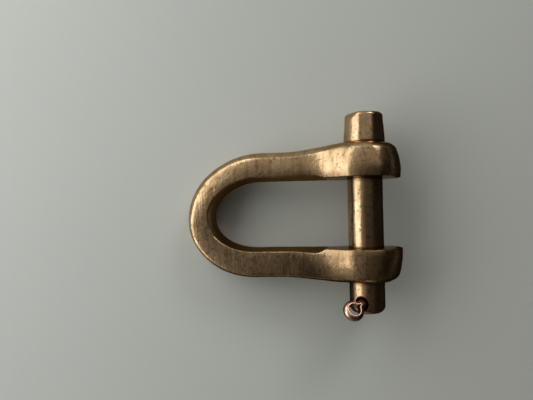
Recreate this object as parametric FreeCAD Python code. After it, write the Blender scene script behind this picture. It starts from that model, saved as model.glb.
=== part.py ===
import FreeCAD, Part
import math
import os

# Long D-shackle in cast bronze, lying on a table: a U-shaped body, a headed clevis pin through its
# two ears, and a split pin through the tip of the clevis pin.
#
# Frame: the origin is on the clevis pin's axis, midway between the ears. +Y runs along the pin
# towards its head, the bow points to -X, and +Z is up from the table. The ears are taller than the
# bow, so at rest the body leans about the pin's axis until its bow meets the table too. The body is
# drawn flat, with its parting plane at Z = 0, and leaned afterwards.

# Driving dimensions, millimetres and degrees
PIN_DIAMETER = 12.7
JAW_WIDTH = 25.4
INSIDE_LENGTH = 49.8
EAR_RADIUS = 13.2
EAR_THICKNESS = 12.3
LEG_GAP = 24.4
LEG_WIDTH = 10.9
CROWN_WIDTH = 10.1
BAR_HEIGHT = 11.4
BOW_STRETCH = 1.25

# Body details
LEG_DRAFT = 1.4
CROWN_DRAFT = 2.2
SHOULDER_RADIUS = 3.0
EAR_TAPER = 0.8
EAR_ROUND = 3.2
NECK_RADIUS = 15.0
NECK_START = 27.0
NECK_EASE = 5.0
NECK_ROUND = 2.8
NECK_SET_BACK = 0.6
HIDDEN_STEP = 0.08
MILLED_RADIUS = 14.0
BORE_CLEARANCE = 0.08
OVERCUT = 1.0
TOUCHING = 1e-6

# Clevis pin details
HEAD_RADIUS = 7.25
HEAD_TAPER = 0.45
HEAD_LENGTH = 11.3
HEAD_ROUND = 1.2
HEAD_GAP = 0.05
TIP_Y = -36.1
TIP_ROUND_RADIAL = 4.0
TIP_ROUND_AXIAL = 2.4

# Split pin and its cross hole
WIRE_RADIUS = 1.6
LIMB_GAP = 0.06
HOLE_RADIUS = 1.9
COUNTERSINK_RADIUS = 2.7
COUNTERSINK_DEPTH = 1.1
HOLE_Y = -32.3
HOLE_LEAN = 30.0
EYE_INNER_RADIUS = 2.1
EYE_THROAT_RADIUS = 1.75
EYE_TWIST = -135.0
EYE_LEAN = 40.0
LEAN_RADIUS = 2.2
LIMB_TOP = 5.3
SHORT_LIMB = 14.0
LONG_LIMB = 15.4

# Derived values
PIN_RADIUS = PIN_DIAMETER / 2
JAW_HALF = JAW_WIDTH / 2
EAR_OUTER_Y = JAW_HALF + EAR_THICKNESS
BAR_HALF_HEIGHT = BAR_HEIGHT / 2
LEG_Y = LEG_GAP / 2 + LEG_WIDTH / 2
LEG_OUTER_Y = LEG_Y + LEG_WIDTH / 2
CROWN_X = -(PIN_RADIUS + INSIDE_LENGTH + CROWN_WIDTH / 2)
BOW_OUTER_X = CROWN_X - CROWN_WIDTH / 2
BOW_LENGTH = LEG_Y * BOW_STRETCH
BOW_CENTRE_X = CROWN_X + BOW_LENGTH

ORIGIN = FreeCAD.Vector(0, 0, 0)
X_AXIS = FreeCAD.Vector(1, 0, 0)
Y_AXIS = FreeCAD.Vector(0, 1, 0)
Z_AXIS = FreeCAD.Vector(0, 0, 1)


def point(x, y, z=0.0):
    return FreeCAD.Vector(x, y, z)


def line(a, b):
    return Part.LineSegment(a, b).toShape()


def arc(a, middle, b):
    return Part.Arc(a, middle, b).toShape()


def corner_arc(centre, radius, angle_from, angle_to, across, up):
    """An arc about centre, its angles in degrees measured from the direction across towards up."""
    def at(angle):
        turn = math.radians(angle)
        return centre + across * (radius * math.cos(turn)) + up * (radius * math.sin(turn))
    return arc(at(angle_from), at((angle_from + angle_to) / 2), at(angle_to))


def ends(edge):
    return edge.valueAt(edge.FirstParameter), edge.valueAt(edge.LastParameter)


def closed_wire(*pieces):
    """Join edges end to end, adding the straight runs between them, and close the loop."""
    edges = []
    for here, there in zip(pieces, pieces[1:] + pieces[:1]):
        edges.append(here)
        gap_start = ends(here)[1]
        gap_end = ends(there)[0]
        if gap_start.distanceToPoint(gap_end) > TOUCHING:
            edges.append(line(gap_start, gap_end))
    return Part.Wire(edges)


def revolve_about_y(wire):
    return Part.Face(wire).revolve(ORIGIN, Y_AXIS, 360)


def mirrored_in_y(shape):
    return shape.mirror(ORIGIN, Y_AXIS)


def mirrored_edge(edge):
    """The edge's mirror image in the parting plane, running the other way."""
    start = edge.valueAt(edge.LastParameter)
    middle = edge.valueAt((edge.FirstParameter + edge.LastParameter) / 2)
    end = edge.valueAt(edge.FirstParameter)
    flip = [point(p.x, p.y, -p.z) for p in (start, middle, end)]
    return arc(*flip)


def bar_section(width, draft, where, facing):
    """The bar's outline square to its run, its outer side turned by facing degrees from +Y: inner
    walls drafted from the parting line to a sharp arris, flat faces above and below, and round outer
    shoulders."""
    shoulder_y = width / 2 - SHOULDER_RADIUS
    shoulder_z = BAR_HALF_HEIGHT - SHOULDER_RADIUS
    upper = corner_arc(point(0, shoulder_y, shoulder_z), SHOULDER_RADIUS, 0, 90, Y_AXIS, Z_AXIS)
    lower = corner_arc(point(0, shoulder_y, -shoulder_z), SHOULDER_RADIUS, -90, 0, Y_AXIS, Z_AXIS)
    upper_arris = point(0, draft - width / 2, BAR_HALF_HEIGHT)
    lower_arris = point(0, draft - width / 2, -BAR_HALF_HEIGHT)
    parting = point(0, -width / 2, 0)
    section = closed_wire(upper, line(upper_arris, parting), line(parting, lower_arris), lower)
    section.rotate(ORIGIN, Z_AXIS, facing)
    section.translate(where)
    return section


def bow_and_legs():
    """Two straight legs and the half-elliptical bow between them, which thins towards its crown."""
    ellipse = Part.Ellipse(point(BOW_CENTRE_X, 0), BOW_LENGTH, LEG_Y)
    half_round_run = Part.ArcOfEllipse(ellipse, math.pi / 2, 3 * math.pi / 2).toShape()
    near_spring = bar_section(LEG_WIDTH, LEG_DRAFT, point(BOW_CENTRE_X, LEG_Y), 0)
    crown = bar_section(CROWN_WIDTH, CROWN_DRAFT, point(CROWN_X, 0), 90)
    far_spring = bar_section(LEG_WIDTH, LEG_DRAFT, point(BOW_CENTRE_X, -LEG_Y), 180)
    sweep = Part.BRepOffsetAPI.MakePipeShell(Part.Wire([half_round_run]))
    sweep.setBiNormalMode(Z_AXIS)
    for section in (near_spring, crown, far_spring):
        sweep.add(section)
    sweep.build()
    sweep.makeSolid()
    leg_run = X_AXIS * -BOW_CENTRE_X
    legs = [Part.Face(section).extrude(leg_run) for section in (near_spring, far_spring)]
    return sweep.shape().fuse(legs)


def ear():
    """A round boss about the pin's axis, a little smaller and well rounded at its outer face."""
    rim_radius = EAR_RADIUS - EAR_TAPER
    rim_y = EAR_OUTER_Y - EAR_ROUND
    rounded = corner_arc(point(rim_radius - EAR_ROUND, rim_y), EAR_ROUND, 0, 90, X_AXIS, Y_AXIS)
    inner_face = line(point(0, JAW_HALF), point(EAR_RADIUS, JAW_HALF))
    outer_face = line(point(rim_radius - EAR_ROUND, EAR_OUTER_Y), point(0, EAR_OUTER_Y))
    return revolve_about_y(closed_wire(inner_face, rounded, outer_face))


def neck_from_the_side():
    """A slab as high as the leg at one end, with hollow curves above and below that rise from the
    leg's faces and run into the ear's rim."""
    leg_z = BAR_HALF_HEIGHT - HIDDEN_STEP
    reach = EAR_RADIUS - EAR_TAPER + NECK_RADIUS
    curve_z = leg_z + NECK_RADIUS
    curve_x = -math.sqrt(reach ** 2 - curve_z ** 2)
    meets_rim = math.degrees(math.atan2(-curve_z, -curve_x))
    above = corner_arc(point(curve_x, 0, curve_z), NECK_RADIUS, -90, meets_rim, X_AXIS, Z_AXIS)
    below = mirrored_edge(above)
    leg_end = line(point(-NECK_START, 0, -leg_z), point(-NECK_START, 0, leg_z))
    inside_ear = ends(above)[1] + point(2 * EAR_TAPER, 0, -EAR_TAPER)
    ear_end = line(inside_ear, point(inside_ear.x, 0, -inside_ear.z))
    outline = closed_wire(leg_end, above, ear_end, below)
    return Part.Face(outline).extrude(Y_AXIS * (EAR_OUTER_Y + OVERCUT))


def neck_from_above():
    """A slab whose outer wall eases from the leg's side out to the ear, and whose inner wall follows
    the leg's drafted wall up to the milled face of the jaw."""
    leg_outer = LEG_OUTER_Y - HIDDEN_STEP
    leg_inner = LEG_GAP / 2 + LEG_DRAFT + HIDDEN_STEP
    ear_outer = EAR_OUTER_Y - NECK_SET_BACK
    swell = Part.BSplineCurve()
    swell.buildFromPoles([
        point(-NECK_START, leg_outer),
        point(-NECK_START + NECK_EASE, leg_outer),
        point(-EAR_RADIUS, ear_outer),
        point(-EAR_RADIUS / 2, ear_outer),
        point(0, ear_outer),
    ], False, 3)
    jaw_wall = line(point(0, JAW_HALF), point(-MILLED_RADIUS, JAW_HALF))
    leg_end = line(point(-NECK_START, leg_inner), point(-NECK_START, leg_outer))
    half_height = EAR_RADIUS + OVERCUT
    slab = Part.Face(closed_wire(swell.toShape(), jaw_wall, leg_end)).extrude(Z_AXIS * (2 * half_height))
    slab.translate(Z_AXIS * -half_height)
    return slab


def is_outer_long_edge(edge):
    """True for the long edges where the neck's outer wall meets its upper and lower faces."""
    a, b = ends(edge)
    return abs(a.x - b.x) > HIDDEN_STEP and min(a.y, b.y) > LEG_OUTER_Y - 2 * HIDDEN_STEP


def neck():
    """The flare from leg to ear, with its outer edges rounded."""
    flare = neck_from_the_side().common(neck_from_above())
    return flare.makeFillet(NECK_ROUND, [e for e in flare.Edges if is_outer_long_edge(e)])


def rest_lean():
    """The lean, in degrees, at which the ears' rims and the bow's lower shoulder share one plane."""
    shoulder_x = BOW_OUTER_X + SHOULDER_RADIUS
    shoulder_z = BAR_HALF_HEIGHT - SHOULDER_RADIUS
    reach = math.hypot(shoulder_x, shoulder_z)
    drop = EAR_RADIUS - SHOULDER_RADIUS
    return math.degrees(math.asin(drop / reach) - math.atan2(shoulder_z, -shoulder_x))


def shackle_body():
    near_side = ear().fuse(neck())
    body = bow_and_legs().fuse([near_side, mirrored_in_y(near_side)])
    jaw_cutter = Part.makeCylinder(MILLED_RADIUS, JAW_WIDTH, point(0, -JAW_HALF), Y_AXIS)
    bore_radius = PIN_RADIUS + BORE_CLEARANCE
    bore_end = EAR_OUTER_Y + OVERCUT
    bore = Part.makeCylinder(bore_radius, 2 * bore_end, point(0, -bore_end), Y_AXIS)
    body = body.cut([jaw_cutter, bore]).removeSplitter()
    body.rotate(ORIGIN, Y_AXIS, -rest_lean())
    return body


def hole_direction():
    """The way the cross hole's upper mouth faces: up, and leaning towards the bow."""
    lean = math.radians(HOLE_LEAN)
    return point(-math.sin(lean), 0, math.cos(lean))


def cross_hole():
    """The cutter for the split pin's hole: a drill right through, with a countersink at each mouth."""
    out = hole_direction()
    centre = point(0, HOLE_Y)
    drill_length = 3 * PIN_RADIUS
    cutter = Part.makeCylinder(HOLE_RADIUS, drill_length, centre - out * (drill_length / 2), out)
    cone_depth = 2 * COUNTERSINK_DEPTH
    cone_radius = 2 * COUNTERSINK_RADIUS - HOLE_RADIUS
    for way in (out, out * -1):
        floor = centre + way * (PIN_RADIUS - COUNTERSINK_DEPTH)
        cutter = cutter.fuse(Part.makeCone(HOLE_RADIUS, cone_radius, cone_depth, floor, way))
    return cutter


def clevis_pin():
    """A round shaft with a stout, slightly tapered head, a blunt rounded tip and the cross hole."""
    seat_y = EAR_OUTER_Y + HEAD_GAP
    head_top = seat_y + HEAD_LENGTH
    round_centre = point(HEAD_RADIUS - HEAD_TAPER - HEAD_ROUND, head_top - HEAD_ROUND)
    head_round = corner_arc(round_centre, HEAD_ROUND, 0, 90, X_AXIS, Y_AXIS)
    seat = line(point(PIN_RADIUS, seat_y), point(HEAD_RADIUS, seat_y))
    axis = line(point(0, head_top), point(0, TIP_Y))
    tip_flat = PIN_RADIUS - TIP_ROUND_RADIAL
    halfway = math.sqrt(0.5)
    nose = arc(
        point(tip_flat, TIP_Y),
        point(tip_flat + TIP_ROUND_RADIAL * halfway, TIP_Y + TIP_ROUND_AXIAL * (1 - halfway)),
        point(PIN_RADIUS, TIP_Y + TIP_ROUND_AXIAL),
    )
    return revolve_about_y(closed_wire(nose, seat, head_round, axis)).cut(cross_hole())


def half_round(centre, outward, along_band):
    """Half of a round wire's section: its flat passes through centre and its back faces outward."""
    back = corner_arc(centre, WIRE_RADIUS, -90, 90, outward, along_band)
    return closed_wire(back)


def eye():
    """The open ring of the split pin in the plane X = 0, with its limbs starting downwards at Z = 0."""
    half_gap = LIMB_GAP / 2
    throat_y = half_gap + EYE_THROAT_RADIUS
    reach = EYE_THROAT_RADIUS + EYE_INNER_RADIUS
    eye_z = math.sqrt(reach ** 2 - throat_y ** 2)
    swing = math.degrees(math.atan2(eye_z, throat_y))
    throat = corner_arc(point(0, -throat_y, 0), EYE_THROAT_RADIUS, 0, swing, Y_AXIS, Z_AXIS)
    ring = corner_arc(point(0, 0, eye_z), EYE_INNER_RADIUS, 180 + swing, -swing, Y_AXIS, Z_AXIS)
    other = corner_arc(point(0, throat_y, 0), EYE_THROAT_RADIUS, 180 - swing, 180, Y_AXIS, Z_AXIS)
    sweep = Part.BRepOffsetAPI.MakePipeShell(Part.Wire([throat, ring, other]))
    sweep.setBiNormalMode(X_AXIS)
    sweep.add(half_round(point(0, -half_gap, 0), Y_AXIS * -1, X_AXIS))
    sweep.build()
    sweep.makeSolid()
    return sweep.shape()


def split_pin():
    """Half-round wire bent back on itself: an eye that leans over the mouth of the cross hole, and two
    limbs with their flats together, one a little longer than the other."""
    bend_axis = point(LEAN_RADIUS, 0, 0)
    bend = FreeCAD.Rotation(Y_AXIS, -EYE_LEAN)
    limbs_up = bend.multVec(Z_AXIS)
    limb_root = bend_axis - bend.multVec(bend_axis)
    pieces = []
    for side, length in ((-1, SHORT_LIMB), (1, LONG_LIMB)):
        section = Part.Face(half_round(point(0, side * LIMB_GAP / 2, 0), Y_AXIS * side, X_AXIS))
        pieces.append(section.revolve(bend_axis, Y_AXIS, -EYE_LEAN))
        section.rotate(bend_axis, Y_AXIS, -EYE_LEAN)
        pieces.append(section.extrude(limbs_up * -length))
    wire = eye().fuse(pieces).removeSplitter()

    out = hole_direction()
    wire.translate(-limb_root)
    wire.rotate(ORIGIN, limbs_up.cross(out), math.degrees(limbs_up.getAngle(out)))
    wire.rotate(ORIGIN, out, EYE_TWIST)
    wire.translate(point(0, HOLE_Y) + out * LIMB_TOP)
    return wire


def main():
    os.makedirs("parts", exist_ok=True)
    makers = {"shackle_body": shackle_body, "clevis_pin": clevis_pin, "split_pin": split_pin}
    for name, make in makers.items():
        shape = make()
        shape.exportStep(f"parts/{name}.step")
        box = shape.BoundBox
        print(name, "solids", len(shape.Solids), "valid", shape.isValid(), "volume", round(shape.Volume, 1))
        print("  x", round(box.XMin, 2), round(box.XMax, 2), " y", round(box.YMin, 2), round(box.YMax, 2),
              " z", round(box.ZMin, 2), round(box.ZMax, 2))
    print("lean at rest", round(rest_lean(), 2), "degrees")


main()
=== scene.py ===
# %% [markdown]
# # A long D-shackle in cast bronze
#
# A shackle is a closed metal loop that can be opened: it joins a rope, a chain or a sail to a fixed
# point on a boat. This one is a **long D-shackle**: two straight legs, a round bow, and two round
# ears that hold a loose **clevis pin**. A **split pin** through the tip of the clevis pin stops it
# from falling out.
#
# | Piece | Made by | Finish |
# | --- | --- | --- |
# | shackle body | sand casting, then milling and drilling | cast bronze, worn and brushed |
# | clevis pin | turned on a lathe from bronze bar | turned bronze |
# | split pin | half-round copper wire, folded | bright copper |
#
# The lesson builds each piece as a mesh in plain numpy code. The two solid pieces are described by a
# **distance field**: a function that gives, for any point in space, how far it is from the surface,
# negative inside the metal and positive outside. Rounded edges, hollows and wear are then each one
# short line of arithmetic. The wire is simpler: its section is swept along a path.

import math

import bpy
import numpy as np
from mathutils import Euler, Matrix, Vector


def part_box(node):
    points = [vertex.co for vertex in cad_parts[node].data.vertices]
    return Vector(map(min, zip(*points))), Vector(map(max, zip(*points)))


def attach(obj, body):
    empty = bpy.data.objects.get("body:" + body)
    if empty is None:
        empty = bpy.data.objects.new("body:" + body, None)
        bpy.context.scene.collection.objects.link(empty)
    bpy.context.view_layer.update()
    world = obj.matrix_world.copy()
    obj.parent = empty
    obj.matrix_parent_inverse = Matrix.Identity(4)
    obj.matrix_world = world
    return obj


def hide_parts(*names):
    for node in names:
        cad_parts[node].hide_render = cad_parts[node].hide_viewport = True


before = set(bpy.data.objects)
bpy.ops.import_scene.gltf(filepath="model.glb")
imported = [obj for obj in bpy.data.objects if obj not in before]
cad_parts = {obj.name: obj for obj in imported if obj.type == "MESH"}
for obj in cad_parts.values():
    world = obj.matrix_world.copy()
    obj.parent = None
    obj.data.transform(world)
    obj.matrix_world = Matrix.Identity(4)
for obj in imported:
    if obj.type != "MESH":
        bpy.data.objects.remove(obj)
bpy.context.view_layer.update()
MM = 0.001

# %% [markdown]
# ## Sizes
#
# The origin is on the clevis pin's axis, midway between the ears. **+Y** runs along the pin to its
# head, the bow points to **-X** and **+Z** is up. All the shape code works in millimetres, because
# the parts of a shackle are a few millimetres thick, and turns to metres only when a mesh is made.
#
# The ears are taller than the bow, so the body can't lie flat: at rest it leans about the pin until
# the bow meets the table. It is drawn flat, with its parting plane at z = 0, and leaned at the end.

# %% The driving sizes, in millimetres and degrees
PIN_RADIUS = 6.35
BORE_RADIUS = 6.45
JAW_HALF = 12.7
JAW_CUTTER_RADIUS = 14.0

LEG_Y = 17.65
LEG_WIDTH = 10.9
CROWN_WIDTH = 10.1
BAR_HALF_HEIGHT = 5.7
CROWN_X = -61.2
BOW_LENGTH = 22.06
BOW_CENTRE_X = CROWN_X + BOW_LENGTH

EAR_RADIUS = 13.4
EAR_TAPER = 1.5
NECK_RADIUS = 27.0
REST_LEAN = 6.83

FLOOR_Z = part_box("shackle_body")[0].z
HEAD_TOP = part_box("clevis_pin")[1].y / MM
TIP_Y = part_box("clevis_pin")[0].y / MM
print("the table is at z", round(FLOOR_Z / MM, 2), "mm")
print("the clevis pin runs from y", round(TIP_Y, 1), "to", round(HEAD_TOP, 1), "mm")

# %% [markdown]
# ## Arithmetic with distances
#
# `both` keeps what two shapes share and rounds the edge between them, and `without` cuts one shape out
# of another in the same way. `ease` goes smoothly from 0 to 1. `drift` is smooth random movement, the
# same at every run, which stands for the small unevenness that a cast and filed piece always has.
# `pit` is one small hollow.

# %% Tools for distance fields
def both(a, b, radius):
    """What two shapes share, with the edge between them rounded."""
    u = np.maximum(a + radius, 0)
    v = np.maximum(b + radius, 0)
    return np.minimum(np.maximum(a, b), -radius) + np.hypot(u, v)


def without(a, b, radius):
    """Shape a with shape b cut out of it."""
    return both(a, -b, radius)


def ease(value, start, end):
    """0 before start, 1 after end, smooth between them."""
    t = np.clip((value - start) / (end - start), 0, 1)
    return t * t * (3 - 2 * t)


def drift(x, y, z, size, seed):
    """Smooth random values between -1 and 1 that change over about size millimetres."""
    table = np.random.default_rng(seed).uniform(-1, 1, (32, 32, 32))
    cells = []
    parts = []
    for value in (x, y, z):
        q = value / size + 16.5
        low = np.floor(q)
        part = q - low
        cells.append(low.astype(int))
        parts.append(part * part * (3 - 2 * part))
    total = 0
    for i in (0, 1):
        for j in (0, 1):
            for k in (0, 1):
                weight = abs(1 - i - parts[0]) * abs(1 - j - parts[1]) * abs(1 - k - parts[2])
                place = ((cells[0] + i) % 32, (cells[1] + j) % 32, (cells[2] + k) % 32)
                total = total + weight * table[place]
    return total


def pit(x, y, z, where, radius, depth):
    """A small round hollow, to be added to a distance."""
    far = ((x - where[0]) ** 2 + (y - where[1]) ** 2 + (z - where[2]) ** 2) / radius ** 2
    return depth * np.exp(-2 * far)


print("a quarter of the way along, ease gives", float(ease(0.25, 0, 1)))

# %% [markdown]
# ## From a distance field to a mesh
#
# `skin` fills a box with small cubes and looks for the cubes that the surface passes through. Each of
# them gets one corner of the mesh, and each cube edge that the surface crosses gets one face, so the
# mesh closes by itself and has no stray faces. The corners are then pulled onto the exact surface
# along the field's slope, which also gives exact shading normals.
#
# Blender's own remesh and subdivision modifiers could do the same job, but they round every edge by
# the same amount. Here the crisp milled edges and the soft worn ones each keep their own rounding.

# %% Turn a field into a closed mesh
def slope(field, points):
    """The direction in which the field grows, at each point."""
    step = 0.02
    out = np.empty_like(points)
    for axis in range(3):
        ahead = points.copy()
        ahead[:, axis] += step
        behind = points.copy()
        behind[:, axis] -= step
        out[:, axis] = (field(*ahead.T) - field(*behind.T)) / (2 * step)
    return out


def settle(field, points, rounds=5):
    """Pull points onto the surface, and give the surface's normal at each."""
    for _ in range(rounds):
        grown = slope(field, points)
        squared = np.maximum((grown ** 2).sum(1), 0.2)
        points = points - grown * (field(*points.T) / squared)[:, None] * 0.95
    normals = slope(field, points)
    normals /= np.maximum(np.linalg.norm(normals, axis=1), 1e-9)[:, None]
    return points, normals


def cube_corners(field, low, high, size):
    """The field at each corner of the cubes that fill a box, and the corners' places."""
    axes = [np.arange(a, b + size, size) for a, b in zip(low, high)]
    x, y, z = np.meshgrid(*axes, indexing="ij")
    return field(x, y, z), axes


def crossing_cubes(values):
    """The cubes that the surface passes through, numbered in order."""
    inside = values < 0
    count = np.zeros([n - 1 for n in values.shape], int)
    for i in (0, 1):
        for j in (0, 1):
            for k in (0, 1):
                nx, ny, nz = count.shape
                count += inside[i:i + nx, j:j + ny, k:k + nz]
    crossed = (count > 0) & (count < 8)
    number = np.full(crossed.shape, -1)
    number[crossed] = np.arange(crossed.sum())
    return inside, crossed, number


def crossing_faces(inside, number):
    """One four-sided face for each cube edge that the surface crosses."""
    faces = []
    for axis in range(3):
        a, b = [other for other in range(3) if other != axis]
        if axis == 1:
            a, b = b, a
        here = np.moveaxis(inside, (axis, a, b), (0, 1, 2))
        cubes = np.moveaxis(number, (axis, a, b), (0, 1, 2))
        start, end = here[:-1, 1:-1, 1:-1], here[1:, 1:-1, 1:-1]
        around = [cubes[:, :-1, :-1], cubes[:, 1:, :-1], cubes[:, 1:, 1:], cubes[:, :-1, 1:]]
        leaving = start & ~end
        entering = ~start & end
        faces.append(np.stack([c[leaving] for c in around], 1))
        faces.append(np.stack([c[entering] for c in around[::-1]], 1))
    return np.concatenate(faces)


def skin(field, low, high, size, detailed=None):
    """The corners, normals and faces of the surface of a field inside a box."""
    values, axes = cube_corners(field, low, high, size)
    inside, crossed, number = crossing_cubes(values)
    places = np.argwhere(crossed)
    points = np.stack([axes[n][places[:, n]] + size / 2 for n in range(3)], 1)
    faces = crossing_faces(inside, number)
    points, _ = settle(field, points, rounds=3)
    points = relax(points, faces)
    return (*settle(detailed or field, points), faces)


def relax(points, faces):
    """Move each corner half way to the middle of its neighbours, which evens out the faces."""
    total = np.zeros_like(points)
    count = np.zeros(len(points))
    for here, there in zip(faces.T, np.roll(faces, -1, axis=1).T):
        np.add.at(total, here, points[there])
        np.add.at(total, there, points[here])
        np.add.at(count, here, 1)
        np.add.at(count, there, 1)
    return (points + total / np.maximum(count, 1)[:, None]) / 2


def ball(x, y, z):
    """A ball of radius 5, to try the tools on."""
    return np.sqrt(x ** 2 + y ** 2 + z ** 2) - 5


ball_points, _, ball_faces = skin(ball, (-6, -6, -6), (6, 6, 6), 1.0)
ball_error = np.abs(ball(*ball_points.T)).max()
print("a test ball has", len(ball_faces), "faces and is off by", round(float(ball_error), 6), "mm at most")


# %% From a mesh to a Blender object
def make_object(name, points, faces, normals=None):
    """A Blender object from corners in millimetres."""
    mesh = bpy.data.meshes.new(name)
    mesh.from_pydata((points * MM).tolist(), [], faces.tolist())
    mesh.shade_smooth()
    if normals is not None:
        mesh.normals_split_custom_set_from_vertices(normals.tolist())
    mesh.validate()
    made = bpy.data.objects.new(name, mesh)
    bpy.context.scene.collection.objects.link(made)
    print(name, "has", len(mesh.vertices), "corners and", len(mesh.polygons), "faces")
    return made


def add_share(made, values, name="painted_shade_and_stain"):
    """Store a number from 0 to 1 at each corner, for the finish to use."""
    layer = made.data.attributes.new(name, "FLOAT", "POINT")
    layer.data.foreach_set("value", np.asarray(values, np.float32))


# %% [markdown]
# ## The shackle body
#
# The body is cast in a two-part sand mould. Its inner walls are **drafted**: they lean back from the
# parting plane so that the pattern can leave the sand, which gives a roof-shaped inner wall with two
# sharp arrises. The outer shoulders are well rounded, and where they run into the flat faces a soft
# crease is left by hand filing. The ears are round bosses, and hollow curves lead into them from the
# legs. The jaw between the ears is milled flat, and the bores are drilled.
#
# It could be made by bevelling a curve and joining bosses to it with booleans, but every join would
# then need its rounding made by hand. In a distance field each rounding is one number, so the body is
# made that way: first the bar, seen from above as a U, then the legs, necks and ears as they look from
# the side, and then the metal that both views share.
#
# Real castings aren't symmetrical. This one has its bow pushed a little to the tip side, and its
# head-side ear is a little thicker. Where a size differs from side to side, -1 is the side of the
# pin's tip and 1 is the side of its head. The two numbers in each `ease(x, a, b)` are places along
# the leg, between which one shape gives way to the next.

# %% The bar that makes the legs and the bow
BOW_SHIFT = 0.75
LEG_DRAFT = 1.5
CROWN_DRAFT = 2.3


def between(a, b, share):
    """a where share is 0 and b where share is 1."""
    return a + (b - a) * share


def shifted(x, y):
    """y measured from the middle of the bow, which is pushed towards the tip side."""
    return y + BOW_SHIFT * ease(-x, 36, 58)


def bow_angle(x, y):
    """1 at the crown of the bow, 0 where the legs begin."""
    along = np.minimum(x - BOW_CENTRE_X, 0) / BOW_LENGTH
    return np.clip(-along / np.maximum(np.hypot(along, y / LEG_Y), 1e-6), 0, 1)


def sideways(x, y):
    """Distance from the bar's centre line, positive outside the U and negative inside it."""
    across = np.minimum(x - BOW_CENTRE_X, 0)
    k = np.hypot(across / BOW_LENGTH, y / LEG_Y)
    g = np.hypot(across / BOW_LENGTH ** 2, y / LEG_Y ** 2)
    return k * (k - 1) / np.maximum(g, 1e-6)


crown_offset = float(sideways(CROWN_X, 0.0))
print("at x", CROWN_X, "on the axis, the crown is", round(crown_offset, 3), "mm off the centre line")

# %% [markdown]
# ### The two walls of the bar
#
# The outer wall is plain, and moves out to the ear's face. The inner wall leans back by its draft on
# both sides of the parting plane. Near the ears it runs into the milled jaw, and on the tip side the
# milling cutter has left a small step there.

# %% Outer and inner wall
EAR_FACE = {-1: 24.85, 1: 25.35}
STEP_DEPTH = 0.55


def outer_wall(x, y):
    """How far the outer wall is from the bar's centre line."""
    width = between(LEG_WIDTH, CROWN_WIDTH, bow_angle(x, y) ** 2)
    ear_face = np.where(y > 0, EAR_FACE[1], EAR_FACE[-1]) - LEG_Y
    return width / 2 + (ear_face - LEG_WIDTH / 2) * ease(x, -30.0, -8.0)


def inner_wall(x, y, z):
    """How far the inner wall is from the bar's centre line, on the inner side."""
    on_bow = bow_angle(x, y) ** 2
    width = between(LEG_WIDTH, CROWN_WIDTH, on_bow)
    draft = between(LEG_DRAFT, CROWN_DRAFT, on_bow)
    rise = np.minimum(np.abs(z) / BAR_HALF_HEIGHT, 1)
    step = STEP_DEPTH * ease(-y, 5, 10)
    leg = width / 2 - draft * rise - step * ease(x, -27, -19) * rise
    arris = LEG_WIDTH / 2 - draft - step
    jaw_side = between(arris, LEG_Y - JAW_HALF, ease(x, -18.2, -13.8))
    return np.maximum(leg, jaw_side)


for place, x, y in (("leg", -45.0, LEG_Y), ("crown", CROWN_X, 0.0)):
    wide = outer_wall(x, y) + inner_wall(x, y, 0.0)
    print("at the", place, "the bar is", round(float(wide), 2), "mm wide")

# %% [markdown]
# ### Legs, necks and ears from the side
#
# Seen from the side the leg is straight, the ear is round, and a hollow arc joins them. Years of lying
# on decks have worn the tops of the ears flat. The flat is soft towards the neck and a little crisper
# towards the end.

# %% The outline from the side
WORN_TOP = 12.5
WORN_TILT = {-1: 0.12, 1: 0.03}
NECK_SIDE_EDGE = 2.4
END_SIDE_EDGE = 1.0


def side_outline(x, z, rim_radius, worn_top):
    """The leg, the hollow neck and the ear as they look from the side."""
    leg = np.abs(z) - BAR_HALF_HEIGHT
    ear = np.hypot(x, z) - rim_radius
    ear = both(ear, z - worn_top, between(NECK_SIDE_EDGE, END_SIDE_EDGE, ease(x, -4, 4)))
    outline = np.where(x < 0, np.minimum(leg, ear), ear)
    hollow_z = BAR_HALF_HEIGHT + NECK_RADIUS
    hollow_x = -np.sqrt((rim_radius + NECK_RADIUS) ** 2 - hollow_z ** 2)
    from_hollow = np.hypot(x - hollow_x, np.abs(z) - hollow_z)
    in_sector = (x > hollow_x) & ((x - hollow_x) * hollow_z < (hollow_z - np.abs(z)) * -hollow_x)
    return np.where(in_sector, np.minimum(outline, NECK_RADIUS - from_hollow), outline)


neck_start = math.sqrt((EAR_RADIUS + NECK_RADIUS) ** 2 - (BAR_HALF_HEIGHT + NECK_RADIUS) ** 2)
print("the hollow necks begin", round(neck_start, 1), "mm from the pin's axis")

# %% [markdown]
# ### How the faces are filed
#
# No face of the bar is quite flat. Each leg is **crowned**: highest along a ridge and falling away to
# both sides. On the head side the ridge lies close to the inner arris, so most of that leg leans
# outwards and looks brighter. On the tip side the ear falls away outwards.

# %% Crowning and falls
CROWNING = {-1: 0.34, 1: 0.50}
RIDGE = {-1: 0.0, 1: -3.0}
INNER_FALL = 0.35
OUTER_FALL = 0.10


def filed_away(x, y, z, side):
    """How much lower the faces are than the plain outline."""
    head_side = ease(y, -9, 14)
    crowning = between(CROWNING[-1], CROWNING[1], head_side)
    ridge = between(RIDGE[-1], RIDGE[1], head_side * (1 - ease(x, -18, -8)))
    crown = crowning * (np.clip(side - ridge, -6, 9) / 5) ** 2
    inner = INNER_FALL * np.clip((16.2 - np.abs(y)) / 3.5, 0, 1) ** 2 * ease(x, -30, -16)
    outer = OUTER_FALL * np.clip(-y - 14.5, 0, 9) * ease(x, -25, -13)
    return crown + (inner + outer) * (z > 0)


edge = LEG_WIDTH / 2
lost = filed_away(-40.0, LEG_Y + edge, BAR_HALF_HEIGHT, edge)
print("the outer edge of the head-side leg is filed down by", round(float(lost), 2), "mm")

# %% [markdown]
# ### The whole body, drawn flat
#
# The body is what the outline and the walls share. The jaw and the bores are then cut out of it, as
# they are in the workshop.

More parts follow.
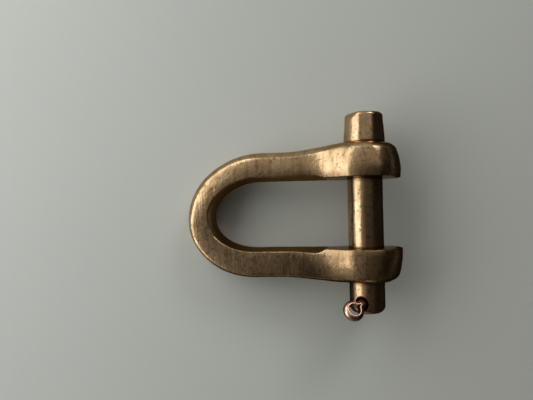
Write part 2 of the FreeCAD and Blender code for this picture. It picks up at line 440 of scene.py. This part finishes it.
# %% Everything in one field
SHOULDER_RADIUS = {-1: 2.7, 1: 4.3}
EAR_SHOULDER_RADIUS = 3.2
CREASE_RISE = 0.42
CREASE_EDGE = 0.25
ARRIS_EDGE = 0.22
MILLED_EDGE = 0.15
BORE_EDGE = 0.25


def body_shape(x, y, z):
    """The body without its small marks."""
    y = shifted(x, y)
    side = sideways(x, y)
    across = np.abs(y)
    on_ear = ease(x, -16, -8)
    rim_radius = EAR_RADIUS - EAR_TAPER * np.clip((across - JAW_HALF) / 12, 0, 1.2)
    worn_top = WORN_TOP - np.where(y > 0, WORN_TILT[1], WORN_TILT[-1]) * (across - LEG_Y)
    outline = side_outline(x, z, rim_radius, worn_top) + filed_away(x, y, z, side)
    radius = between(SHOULDER_RADIUS[-1], SHOULDER_RADIUS[1], ease(y, -12, 6))
    radius = between(radius, EAR_SHOULDER_RADIUS, on_ear)
    shoulder = both(outline - CREASE_RISE * (1 - on_ear), side - outer_wall(x, y), radius)
    solid = both(outline, shoulder, CREASE_EDGE)
    solid = both(solid, -side - inner_wall(x, y, z), ARRIS_EDGE)
    reach = np.hypot(x, z)
    jaw = np.maximum(reach - JAW_CUTTER_RADIUS, across - JAW_HALF)
    solid = without(solid, jaw, MILLED_EDGE)
    return without(solid, reach - BORE_RADIUS, BORE_EDGE)


for place, x, y in (("middle of a leg", -40.0, LEG_Y), ("middle of the jaw", 0.0, 0.0)):
    print("in the", place, "the field is", round(float(body_shape(x, y, 0.0)), 2), "mm")

# %% [markdown]
# ### Small marks
#
# Four kinds of mark are real shape, because they bend the reflections that the eye reads as metal:
# long soft waves from filing, finer waves from the sand, dents on the ears, and a few pits and knocks.
# The metal around the pin stays smooth, so that the pin turns freely.

# %% The marks on the body
# each pit is its place, its radius and its depth
PITS = (
    (-37.6, 19.9, 5.7, 0.80, 0.09),
    (-55.8, 9.4, 5.7, 0.70, 0.08),
    (-27.8, -15.2, 5.7, 0.65, 0.08),
    (-10.4, 20.8, 8.2, 0.70, 0.09),
    (-30.0, -19.0, -5.7, 0.70, 0.20),
    (-50.0, 15.0, -5.7, 0.60, 0.20),
    (-20.0, 16.0, -5.8, 0.80, 0.18),
    (-66.2, 3.0, 0.5, 0.70, 0.15),
    (-25.0, -22.7, 1.0, 0.80, 0.18),
    (-6.0, 24.9, -6.0, 0.60, 0.15),
)


def body_marks(x, y, z):
    """How much metal the casting and its wear have added or removed."""
    waves = 0.07 * drift(x, y, z, 8.5, 11)
    finer = 0.022 * drift(x, y, z, 2.2, 12)
    patch = np.exp(-(((x + 3.0) / 3.2) ** 2 + ((y + 19.5) / 3.6) ** 2)) * (z > 0)
    rough = patch * 0.06 * drift(x, y, z, 0.7, 13)
    on_ear = ease(x, -20, -12) * (z > 0)
    dents = on_ear * 0.14 * drift(x, y, z, 4.6, 14)
    away_from_pin = ease(np.hypot(x, z), 6.7, 8.2)
    pits = sum(pit(x, y, z, p[:3], p[3], p[4]) for p in PITS)
    return (waves + finer + rough + dents) * away_from_pin + pits


def body_field(x, y, z):
    """The body with its marks."""
    return body_shape(x, y, z) + body_marks(x, y, z)


print("the body has", len(PITS), "pits, the deepest", max(p[4] for p in PITS), "mm deep")

# %% [markdown]
# ### Painted shade and stains
#
# The inner walls, the jaw and the bores are darkened in colour: this is painted shade, for the shade
# that falls in these recesses. The necks get darker stains. A number from 0 to 1 at each corner of the
# mesh says how dark the place is made, and the finish reads it later. A painted map could hold the
# same thing, but it would need an unwrapped mesh.

# %% Painted shade in the recesses, and stains on the necks
def painted_shade_and_stain_share(x, y, z):
    """Painted shade: 1 on the inner walls, in the jaw and in the bores; less for the stains on the necks.
    """
    y = shifted(x, y)
    # the inner walls, the jaw and the bores get painted shade; the two neck patches are stains
    below_arris = 1 - ease(np.abs(z), 4.6, 5.5)
    inner = ease(-sideways(x, y), 2.6, 4.2) * below_arris
    near_jaw = (1 - ease(np.abs(y), JAW_HALF, JAW_HALF + 0.3)) * ease(x, -16, -13)
    bore = 1 - ease(np.hypot(x, z), BORE_RADIUS + 0.1, BORE_RADIUS + 0.5)
    tip_neck = 0.62 * np.exp(-(((x + 14) / 8) ** 2 + ((y + 21) / 5) ** 2)) * (z > 0)
    along_neck = ease(x, -28, -20) * (1 - ease(x, -10, -5))
    head_neck = 0.45 * (1 - ease(y, 13.4, 16.4)) * along_neck * (z > 0) * (y > 0)
    return np.clip(inner + near_jaw + bore + tip_neck + head_neck, 0, 1)


for place, y in (("inner wall", LEG_Y - LEG_WIDTH / 2), ("outer wall", LEG_Y + LEG_WIDTH / 2)):
    print("the", place, "of a leg is sheltered by", round(float(painted_shade_and_stain_share(-35.0, y, 0.0)), 2))

# %% [markdown]
# ### Make the body and lean it
#
# The cubes are 0.41 mm wide: small enough for the milled edges to look crisp from above, and large
# enough to keep the mesh light.

# %% The body's mesh
def leaned(points):
    """Turn points about the pin's axis, so that the bow goes down to the table."""
    turn = math.radians(REST_LEAN)
    x, y, z = points.T
    turned_x = x * math.cos(turn) - z * math.sin(turn)
    turned_z = x * math.sin(turn) + z * math.cos(turn)
    return np.stack([turned_x, y, turned_z], 1)


BODY_CUBE = 0.41
points, normals, faces = skin(body_shape, (-67.5, -26.5, -14.2), (14.2, 26.5, 14.2), BODY_CUBE, body_field)
body = make_object("bronze_body", leaned(points), faces, leaned(normals))
add_share(body, painted_shade_and_stain_share(*points.T))
print("it leans", REST_LEAN, "degrees; its lowest point is at z", round(body.bound_box[0][2] / MM, 2), "mm")

# %% [markdown]
# ## The clevis pin
#
# The pin is turned from bar: a stout head with a slight taper, a plain shaft and a blunt, domed tip.
# The cross hole near the tip has a countersink at each mouth, so that the split pin goes in easily.
# The head has been knocked with a hammer over the years: its rim is uneven and one side is worn flat.
#
# A turned shape could be a profile spun about its axis. The worn side, the knocks and the cross hole
# are easier as a distance field, so the pin is made like the body.

# %% The pin's sizes
HEAD_RADIUS = 7.5
HEAD_SEAT = 25.42
HEAD_TAPER = 0.65
HEAD_LENGTH = 11.0
HEAD_EDGE = 1.3
SEAT_EDGE = 0.25
TIP_ROUNDING = 2.6
SHAFT_END_Y = 30.0
WORN_SIDE = 8.2
WORN_SIDE_EDGE = 0.5

HOLE_Y = -32.3
HOLE_RADIUS = 1.9
HOLE_EDGE = 0.18
COUNTERSINK_RADIUS = 2.75
COUNTERSINK_DEPTH = 1.15
HOLE_LEAN = 30.0
hole_out = np.array([-math.sin(math.radians(HOLE_LEAN)), 0.0, math.cos(math.radians(HOLE_LEAN))])
print("the cross hole points along", [round(float(v), 3) for v in hole_out])


# %% The pin's shape
def cross_hole(x, y, z):
    """The drilled hole with its countersinks."""
    along = np.abs(x * hole_out[0] + z * hole_out[2])
    across = x * hole_out[2] - z * hole_out[0]
    wide = np.hypot(across, y - HOLE_Y)
    slant = (COUNTERSINK_RADIUS - HOLE_RADIUS) / COUNTERSINK_DEPTH
    mouth = HOLE_RADIUS + np.maximum(along - (PIN_RADIUS - COUNTERSINK_DEPTH), 0) * slant
    # the mouth is slanted, so the distance across it is longer than the shortest one
    return (wide - mouth) * 0.8


def pin_shape(x, y, z):
    """The turned pin with its cross hole."""
    reach = np.hypot(x, z)
    shaft = both(reach - PIN_RADIUS, TIP_Y - y, TIP_ROUNDING)
    shaft = np.maximum(shaft, y - SHAFT_END_Y)
    taper = HEAD_TAPER * np.clip((y - HEAD_SEAT) / HEAD_LENGTH, 0, 1.2)
    # the worn side faces the bow, upwards and outwards
    worn = (-0.80 * x + 0.42 * z + 0.60 * (y - SHAFT_END_Y)) / 1.08 - WORN_SIDE
    head = both(reach - HEAD_RADIUS + taper, y - HEAD_TOP - 0.1, HEAD_EDGE)
    head = both(head, worn, WORN_SIDE_EDGE)
    head = both(head, HEAD_SEAT - y, SEAT_EDGE)
    return without(np.minimum(shaft, head), cross_hole(x, y, z), HOLE_EDGE)


def pin_field(x, y, z):
    """The pin with its turning marks, and the knocks on its head."""
    waves = 0.03 * drift(x, y, z, 5.5, 21)
    fine = 0.008 * drift(x, y, z, 1.3, 22)
    on_head = ease(y, HEAD_SEAT, HEAD_SEAT + 2)
    knocks = on_head * 0.10 * drift(x, y, z, 3.2, 23)
    return pin_shape(x, y, z) + waves + fine + knocks


# %% [markdown]
# The pin is darkened where it meets the four ear faces and inside the cross hole: this is painted shade,
# for the shade that falls in these joints and in the hole. The pin gets a number for this at each
# corner too, so that one finish recipe serves both pieces.

# %% The pin's mesh
def painted_joint_shade_share(x, y, z):
    """Painted shade: 1 where the pin meets an ear face and inside the cross hole."""
    edges = (HEAD_SEAT, JAW_HALF, -JAW_HALF, -24.9)
    rings = sum(np.exp(-((y - edge) / 0.6) ** 2) for edge in edges)
    across = x * hole_out[2] - z * hole_out[0]
    in_hole = 1 - ease(np.hypot(across, y - HOLE_Y), COUNTERSINK_RADIUS - 0.2, COUNTERSINK_RADIUS + 0.1)
    return np.clip(rings * 0.9 + in_hole, 0, 1)


PIN_CUBE = 0.31
points, normals, faces = skin(pin_shape, (-8, TIP_Y - 1, -8), (8, HEAD_TOP + 1, 8), PIN_CUBE, pin_field)
pin = make_object("bronze_clevis_pin", points, faces, normals)
add_share(pin, painted_joint_shade_share(*points.T))

# %% [markdown]
# ## The split pin
#
# A split pin is one length of **half-round wire** folded back on itself with its flats together, so
# the two limbs make up one round pin. At the fold the wire opens into an eye. This eye has been bent
# over, to lean on the mouth of the cross hole.
#
# The wire is made by sweeping its half-round section along the path. Each step of the path has a
# place, the direction that the wire's round back faces, and the direction across the flat. A Blender
# curve with a bevel shape could sweep it too, but it chooses the wire's twist by itself, and here the
# flats have to stay together.

# %% The wire's sizes
WIRE_RADIUS = 1.6
EYE_RADIUS = 2.1
THROAT_RADIUS = 1.75
HALF_GAP = 0.03
LEAN_RADIUS = 2.2
EYE_LEAN = 40.0
EYE_TWIST = -135.0
LIMB_TOP = 5.3
LIMBS = {-1: 14.0, 1: 15.4}
throat_y = HALF_GAP + THROAT_RADIUS
eye_z = math.sqrt((THROAT_RADIUS + EYE_RADIUS) ** 2 - throat_y ** 2)
swing = math.atan2(eye_z, throat_y)
print("the ring swings", round(math.degrees(swing)), "degrees out of each throat")


# %% The path of the wire
def eye_path():
    """The throat, the ring and the other throat, in the plane x = 0."""
    steps = []
    for angle in np.linspace(0, swing, 9)[:-1]:
        out = np.array([0, -math.cos(angle), -math.sin(angle)])
        steps.append((np.array([0, -throat_y, 0]) - out * THROAT_RADIUS, out))
    for angle in np.linspace(math.pi + swing, -swing, 49):
        out = np.array([0, math.cos(angle), math.sin(angle)])
        steps.append((np.array([0, 0, eye_z]) + out * EYE_RADIUS, out))
    for angle in np.linspace(math.pi - swing, math.pi, 9)[1:]:
        out = np.array([0, -math.cos(angle), -math.sin(angle)])
        steps.append((np.array([0, throat_y, 0]) - out * THROAT_RADIUS, out))
    return [(place, out, np.array([1.0, 0, 0])) for place, out in steps]


def turned_about_bend(vector, angle, about=(LEAN_RADIUS, 0, 0)):
    """Turn a place about the bend's axis, which runs along y."""
    x, y, z = np.asarray(vector, float) - np.asarray(about, float)
    c, s = math.cos(angle), math.sin(angle)
    return np.array([x * c + z * s, y, -x * s + z * c]) + np.asarray(about, float)


def limb_path(side, length):
    """One limb, from just below the eye to its cut end."""
    steps = []
    root = (0, side * HALF_GAP, 0)
    facing = (0.0, float(side), 0.0)
    for angle in np.linspace(0, -math.radians(EYE_LEAN), 7)[1:]:
        band = turned_about_bend((1, 0, 0), angle, (0, 0, 0))
        steps.append((turned_about_bend(root, angle), np.array(facing), band))
    down = turned_about_bend((0, 0, -1), -math.radians(EYE_LEAN), (0, 0, 0))
    start, out, band = steps[-1]
    for far in np.append(np.linspace(0, length - 0.6, 13)[1:], [length - 0.35, length - 0.12, length]):
        steps.append((start + down * far, out, band))
    return steps


wire_path = limb_path(-1, LIMBS[-1])[::-1] + eye_path() + limb_path(1, LIMBS[1])
print("the wire's path has", len(wire_path), "steps")

# %% [markdown]
# ### The wire's section
#
# The section is half a circle with its two sharp corners softened. At both cut ends the last three
# rings shrink a little, which rounds the end as a file would.

# %% Sweep the half-round section along the path
SECTION_STEPS = 22
CORNER = 0.22
END_SHRINK = {0: 0.72, 1: 0.90, 2: 0.98}


def wire_section():
    """Half of a circle with its two corners softened, as (back, across) pairs."""
    angles = np.linspace(-math.pi / 2, math.pi / 2, SECTION_STEPS)[1:-1]
    arc = [(WIRE_RADIUS * math.cos(a), WIRE_RADIUS * math.sin(a)) for a in angles]
    low = [(CORNER * 0.05, -WIRE_RADIUS + CORNER * 0.9), (CORNER * 0.45, -WIRE_RADIUS + CORNER * 0.18)]
    high = [(back, -across) for back, across in low[::-1]]
    flat_half = WIRE_RADIUS - CORNER * 1.6
    flat = [(0.0, across) for across in np.linspace(flat_half, -flat_half, 7)]
    return np.array(low + arc + high + flat)


def sweep_wire(path, section):
    """Rings of corners along the path, closed with a small cap at each end."""
    rings = []
    for n, (place, back, across) in enumerate(path):
        from_end = min(n, len(path) - 1 - n)
        shrink = END_SHRINK.get(from_end, 1.0)
        middle = np.array([WIRE_RADIUS * 0.42, 0.0])
        shape = middle + (section - middle) * shrink
        rings.append(place + shape[:, :1] * back + shape[:, 1:] * across)
    corners = np.concatenate(rings)
    size = len(section)
    quads = []
    for n in range(len(path) - 1):
        for m in range(size):
            after = (m + 1) % size
            quads.append((n * size + m, n * size + after, (n + 1) * size + after, (n + 1) * size + m))
    first = list(range(size))[::-1]
    last = [len(corners) - size + m for m in range(size)]
    return corners, quads, [first, last]


corners, quads, caps = sweep_wire(wire_path, wire_section())
print("the wire's surface has", len(quads), "faces and", len(caps), "caps")

# %% [markdown]
# The wire is then put in place: its limbs are lined up with the cross hole, it is twisted about
# them so that the eye leans the right way, and it is pushed in until the eye meets the pin.

# %% Put the split pin in its hole
lean = -math.radians(EYE_LEAN)
limbs_up = Vector(turned_about_bend((0, 0, 1), lean, (0, 0, 0)))
limb_root = Vector(turned_about_bend((0, 0, 0), lean))
hole_axis = Vector(hole_out)
line_up = limbs_up.rotation_difference(hole_axis).to_matrix().to_4x4()
twist = Matrix.Rotation(math.radians(EYE_TWIST), 4, hole_axis)
home = Matrix.Translation(Vector((0, HOLE_Y, 0)) + hole_axis * LIMB_TOP)
placing = home @ twist @ line_up @ Matrix.Translation(-limb_root)
placed = np.array([placing @ Vector(c) for c in corners])
split_mesh = bpy.data.meshes.new("copper_split_pin")
split_mesh.from_pydata((placed * MM).tolist(), [], [list(q) for q in quads] + caps)
split_mesh.validate()
split = bpy.data.objects.new("copper_split_pin", split_mesh)
bpy.context.scene.collection.objects.link(split)
split_mesh.shade_smooth()
print("the split pin reaches from z", round(placed[:, 2].min(), 1), "to", round(placed[:, 2].max(), 1))

# %% [markdown]
# ## Finishes
#
# All three finishes are bare metal, so they are one recipe with different numbers. The colour comes
# from two tones mixed by soft cloudy patches, with darker tarnish in fine streaks and specks. Roughness
# changes in the same cloudy way, because handling polishes some places more than others. A fine
# bump carries the brush marks, which are noise stretched along one direction. The specular tint keeps
# the metal warm where it is seen at a low angle.
#
# Painted maps could give the same look, but noise needs no unwrapping, has no seams and never runs
# out of detail.

# %% Helpers for shader nodes
def new_node(tree, kind, place, **settings):
    """A node at a place in the editor, with its sockets or its settings filled in."""
    node = tree.nodes.new(kind)
    node.location = place
    for key, value in settings.items():
        if key in node.inputs:
            node.inputs[key].default_value = value
        else:
            setattr(node, key, value)
    return node


def noise(tree, coordinates, stretch, scale, detail, place):
    """Noise stretched along the directions where stretch is small."""
    spread = new_node(tree, "ShaderNodeMapping", (place[0] - 200, place[1]))
    spread.inputs["Scale"].default_value = stretch
    made = new_node(tree, "ShaderNodeTexNoise", place, Scale=scale, Detail=detail, Roughness=0.55)
    tree.links.new(coordinates, spread.inputs["Vector"])
    tree.links.new(spread.outputs["Vector"], made.inputs["Vector"])
    return made.outputs["Fac"]


def ramp(tree, value, low, high, place, ends=(0, 1), shape="LINEAR"):
    """Stretch a value so that low becomes the first end and high the second."""
    made = new_node(tree, "ShaderNodeMapRange", place, interpolation_type=shape)
    made.inputs["From Min"].default_value = low
    made.inputs["From Max"].default_value = high
    made.inputs["To Min"].default_value = ends[0]
    made.inputs["To Max"].default_value = ends[1]
    tree.links.new(value, made.inputs["Value"])
    return made.outputs["Result"]


def mix_colour(tree, share, a, b, place):
    """Colour a where share is 0, colour b where share is 1."""
    made = new_node(tree, "ShaderNodeMix", place, data_type="RGBA")
    tree.links.new(share, made.inputs[0])
    for socket, colour in ((made.inputs[6], a), (made.inputs[7], b)):
        if isinstance(colour, tuple):
            socket.default_value = colour
        else:
            tree.links.new(colour, socket)
    return made.outputs[2]


# %% [markdown]
# The noise scales are per metre. The clouds are about 9 mm across, the streaks and specks about 1 mm,
# and the brush marks about half a millimetre wide.

# %% A recipe for worn bare metal
EDGE_TINT = (0.80, 0.64, 0.48, 1)
EVEN = (1, 1, 1)
CLOUD_SCALE = 110
STREAK_SCALE = 700
SPECK_SCALE = 760
BRUSH_SCALE = 2200
GRAIN_SCALE = 900


def metal_tone(tree, where, clouds, light, deep, tarnish, brush, dark):
    """The metal's colour: two tones in clouds, tarnish in streaks and specks, and the dark tone where the
    stored share puts painted shade and stains.
    """
    streaks = noise(tree, where, brush, STREAK_SCALE, 4, (-1200, 100))
    stained = ramp(tree, streaks, 0.50, 0.85, (-1000, 100))
    specks = noise(tree, where, EVEN, SPECK_SCALE, 6, (-1200, 700))
    specked = ramp(tree, specks, 0.54, 0.72, (-1000, 700))
    tone = mix_colour(tree, clouds, light, deep, (-700, 400))
    tone = mix_colour(tree, stained, tone, tarnish, (-500, 300))
    tone = mix_colour(tree, specked, tone, tarnish, (-400, 500))
    # the stored share mixes in painted shade in recesses and joints, and stains on the body's necks
    if dark:
        share = new_node(tree, "ShaderNodeAttribute", (-700, 600), attribute_name="painted_shade_and_stain")
        tone = mix_colour(tree, share.outputs["Fac"], tone, dark, (-300, 400))
    return tone


def metal_bump(tree, where, brush, brush_strength, grain_strength):
    """Brush marks with a fine even grain over them."""
    marks = noise(tree, where, brush, BRUSH_SCALE, 4, (-1200, -200))
    fine = noise(tree, where, EVEN, GRAIN_SCALE, 4, (-1200, -500))
    brushed = new_node(tree, "ShaderNodeBump", (-500, -200), Strength=brush_strength, Distance=0.00005)
    grainy = new_node(tree, "ShaderNodeBump", (-300, -300), Strength=grain_strength, Distance=0.0001)
    tree.links.new(marks, brushed.inputs["Height"])
    tree.links.new(fine, grainy.inputs["Height"])
    tree.links.new(brushed.outputs["Normal"], grainy.inputs["Normal"])
    return grainy.outputs["Normal"]


print("the clouds are about", round(1 / CLOUD_SCALE / MM), "mm across")


def bare_metal(name, light, deep, tarnish, rough, brush, grain, dark=None):
    """A worn metal: three tones, (low, high) roughness, brush direction, (brush, grain) strengths."""
    material = bpy.data.materials.new(name)
    material.use_nodes = True
    tree = material.node_tree
    shader = tree.nodes["Principled BSDF"]
    shader.inputs["Metallic"].default_value = 1.0
    shader.inputs["Specular Tint"].default_value = EDGE_TINT
    where = new_node(tree, "ShaderNodeTexCoord", (-1600, 0)).outputs["Object"]
    clouds = ramp(tree, noise(tree, where, EVEN, CLOUD_SCALE, 5, (-1200, 400)), 0.36, 0.66, (-1000, 400))
    tone = metal_tone(tree, where, clouds, light, deep, tarnish, brush, dark)
    tree.links.new(tone, shader.inputs["Base Color"])
    tree.links.new(ramp(tree, clouds, 0, 1, (-700, 0), ends=rough), shader.inputs["Roughness"])
    tree.links.new(metal_bump(tree, where, brush, *grain), shader.inputs["Normal"])
    return material


# %% [markdown]
# The cast bronze is a warm brown with brush marks across the legs. The turned bronze is a little
# smoother. The copper of the split pin is pinker and the brightest of the three.

# %% The three metals
cast_bronze = bare_metal(
    "cast_bronze",
    light=(0.64, 0.44, 0.265, 1),
    deep=(0.38, 0.25, 0.135, 1),
    tarnish=(0.20, 0.115, 0.05, 1),
    rough=(0.19, 0.33),
    brush=(1, 0.10, 1),
    grain=(0.75, 0.50),
    # dark is painted shade for the recesses, and also the tone of the stains on the necks
    dark=(0.15, 0.08, 0.03, 1),
)
turned_bronze = bare_metal(
    "turned_bronze",
    light=(0.66, 0.46, 0.285, 1),
    deep=(0.44, 0.29, 0.16, 1),
    tarnish=(0.24, 0.135, 0.06, 1),
    rough=(0.18, 0.28),
    brush=(1, 0.10, 1),
    grain=(0.45, 0.15),
    # dark is painted shade where the pin meets the ears and in the cross hole
    dark=(0.12, 0.065, 0.028, 1),
)
copper_wire = bare_metal(
    "copper_wire",
    light=(0.74, 0.47, 0.35, 1),
    deep=(0.50, 0.28, 0.19, 1),
    tarnish=(0.24, 0.09, 0.05, 1),
    rough=(0.20, 0.30),
    brush=(1, 1, 0.2),
    grain=(0.15, 0.15),
)
body.data.materials.append(cast_bronze)
pin.data.materials.append(turned_bronze)
split.data.materials.append(copper_wire)
print("made", [m.name for m in (cast_bronze, turned_bronze, copper_wire)])

# %% [markdown]
# ## Joining the pieces to the measured model
#
# Each mesh stands for one measured part and moves with it: the clevis pin turns in the ears and the
# split pin pulls out of its hole. No piece bends, so each one simply rides on its own body.

# %% Tie each mesh to its part
for made, part, finish in (
    (body, "shackle_body", "cast_bronze"),
    (pin, "clevis_pin", "turned_bronze"),
    (split, "split_pin", "copper_wire"),
):
    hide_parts(part)
    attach(made, part)
    print(made.name, "stands for", part)

# %% [markdown]
# ## The floor and the light
#
# The shackle lies on a pale painted table. The paint is dull, so that the window leaves no glare on
# it, and two close tones drift into each other so that it doesn't look dead. A plain quad is enough.

# %% A pale floor
FLOOR_SIZE = 8.0
FLOOR_GAP = 0.0002


def floor_material():
    """Dull pale paint in two close tones."""
    material = bpy.data.materials.new("pale_table")
    material.use_nodes = True
    tree = material.node_tree
    shader = tree.nodes["Principled BSDF"]
    shader.inputs["Roughness"].default_value = 0.9
    shader.inputs["Specular IOR Level"].default_value = 0.15
    where = new_node(tree, "ShaderNodeTexCoord", (-1000, 0)).outputs["Object"]
    clouds = noise(tree, where, EVEN, 9, 3, (-600, 0))
    tone = mix_colour(tree, clouds, (0.60, 0.615, 0.59, 1), (0.65, 0.665, 0.64, 1), (-300, 0))
    tree.links.new(tone, shader.inputs["Base Color"])
    return material


def flat_sheet(name, corners, quads, material):
    """A thin staged object, which isn't part of the shackle."""
    mesh = bpy.data.meshes.new(name)
    mesh.from_pydata(corners, [], quads)
    mesh.materials.append(material)
    sheet = bpy.data.objects.new(name, mesh)
    bpy.context.scene.collection.objects.link(sheet)
    return sheet


half = FLOOR_SIZE / 2
floor_corners = [(-half, -half, 0), (half, -half, 0), (half, half, 0), (-half, half, 0)]
floor = flat_sheet("table_top", floor_corners, [(0, 1, 2, 3)], floor_material())
floor.location.z = FLOOR_Z - FLOOR_GAP
print("the table is", FLOOR_SIZE, "m wide")

# %% [markdown]
# Polished metal shows what stands around it. A studio puts dark card next to a shiny object, so
# that its edges read against a pale ground. This card lies on the table along the right-hand side,
# stands up at its far edge, and has a second strip along the near side. Only reflections see it: it
# throws no shadow, and the table isn't darkened.

# %% A dark card beside the shackle
CARD_X = (0.0145, 0.048)
CARD_TOP = 0.006
CARD_HALF_LENGTH = 0.2
NEAR_STRIP_X = (-0.075, 0.0145)
NEAR_STRIP_Y = (-0.07, -0.026)


def card_material():
    """Dull black card."""
    material = bpy.data.materials.new("dark_card")
    material.use_nodes = True
    shader = material.node_tree.nodes["Principled BSDF"]
    shader.inputs["Base Color"].default_value = (0.02, 0.018, 0.016, 1)
    shader.inputs["Roughness"].default_value = 0.9
    return material


fold = [(CARD_X[0], FLOOR_Z), (CARD_X[1], FLOOR_Z), (CARD_X[1], CARD_TOP)]
card_corners = [(x, y, z) for x, z in fold for y in (-CARD_HALF_LENGTH, CARD_HALF_LENGTH)]
card_corners += [(x, y, FLOOR_Z) for x in NEAR_STRIP_X for y in NEAR_STRIP_Y]
card = flat_sheet("dark_card", card_corners, [(0, 1, 3, 2), (2, 3, 5, 4), (6, 7, 9, 8)], card_material())
card.visible_camera = False
card.visible_diffuse = False
card.visible_shadow = False
print("the dark card stands", round((CARD_TOP - FLOOR_Z) / MM, 1), "mm high")

# %% [markdown]
# One large window on the left gives the long bright streaks on the rounded edges. A smaller lamp
# behind on the right softens the shadows towards the bow. Area lights are used for both, because
# their size sets how soft the shadows and how wide the streaks are.

# %% Window and lamp
def area_light(name, direction, distance, width, height, power, colour):
    """A flat light that faces the shackle from one direction."""
    data = bpy.data.lights.new(name, "AREA")
    data.shape = "RECTANGLE"
    data.size, data.size_y = width, height
    data.energy = power
    data.color = colour
    made = bpy.data.objects.new(name, data)
    towards = Vector(direction).normalized()
    made.location = Vector((-0.03, 0, 0)) + towards * distance
    made.rotation_euler = towards.to_track_quat("Z", "Y").to_euler()
    made.visible_camera = False
    bpy.context.scene.collection.objects.link(made)
    return made


window = area_light(
    "window", direction=(-0.84, 0.28, 0.46), distance=0.34,
    width=0.78, height=0.27, power=1.32, colour=(0.965, 1.0, 0.985),
)
lamp = area_light(
    "lamp", direction=(0.43, 0.77, 0.50), distance=0.9,
    width=0.32, height=0.26, power=1.25, colour=(0.985, 1.0, 0.97),
)
for light in (window, lamp):
    print(light.name, "stands", round((light.location - Vector((-0.03, 0, 0))).length, 2), "m away")

# %% [markdown]
# The room itself is dim and warm. It is brighter behind the head of the pin and towards the window,
# so that the faces of the bar change tone slowly as they turn, and it is nearly black on the right.
# Walls could be built for this, but a background that depends on the direction does the same and
# costs nothing to render.

# %% The room
ROOM_DIM = (0.045, 0.042, 0.036, 1)
ROOM_BEHIND = (0.42, 0.41, 0.37, 1)
ROOM_RIGHT = (0.015, 0.014, 0.012, 1)
ROOM_WINDOW_SIDE = (0.33, 0.318, 0.285, 1)


def room_light():
    """A dim room whose tone depends on the direction."""
    room = bpy.data.worlds.new("room")
    room.use_nodes = True
    tree = room.node_tree
    facing = new_node(tree, "ShaderNodeTexCoord", (-1200, 0)).outputs["Generated"]
    axes = new_node(tree, "ShaderNodeSeparateXYZ", (-1000, 0))
    tree.links.new(facing, axes.inputs[0])
    behind = ramp(tree, axes.outputs["Y"], 0.05, 0.40, (-800, 200), shape="SMOOTHSTEP")
    right = ramp(tree, axes.outputs["X"], 0.40, 0.70, (-800, -200), shape="SMOOTHSTEP")
    window_side = ramp(tree, axes.outputs["X"], -0.12, -0.70, (-800, -500), shape="SMOOTHSTEP")
    tone = mix_colour(tree, behind, ROOM_DIM, ROOM_BEHIND, (-500, 200))
    tone = mix_colour(tree, right, tone, ROOM_RIGHT, (-300, 0))
    tone = mix_colour(tree, window_side, tone, ROOM_WINDOW_SIDE, (-100, 0))
    tree.links.new(tone, tree.nodes["Background"].inputs["Color"])
    return room


bpy.context.scene.world = room_light()
bpy.context.scene.view_settings.view_transform = "Standard"
print("the room is lit by", bpy.context.scene.world.name)

# %% [markdown]
# ## The camera
#
# The view is nearly straight down from 17 cm above the pin, as one would hold a phone over the
# table, with a wide lens and a slight tilt. From so near, the ears look larger than the bow and
# their inner walls show, which a long lens from far away would flatten out.

# %% Look from above
camera_data = bpy.data.cameras.new("phone")
camera_data.lens = 31.4
camera_data.sensor_width = 36
camera = bpy.data.objects.new("phone", camera_data)
camera.location = (-0.0341, 0.0003, 0.1711)
camera.rotation_euler = Euler((math.radians(1.65), math.radians(0.75), math.radians(-0.93)))
bpy.context.scene.collection.objects.link(camera)
bpy.context.scene.camera = camera
print("the camera is", round(camera.location.z / MM), "mm above the pin's axis")
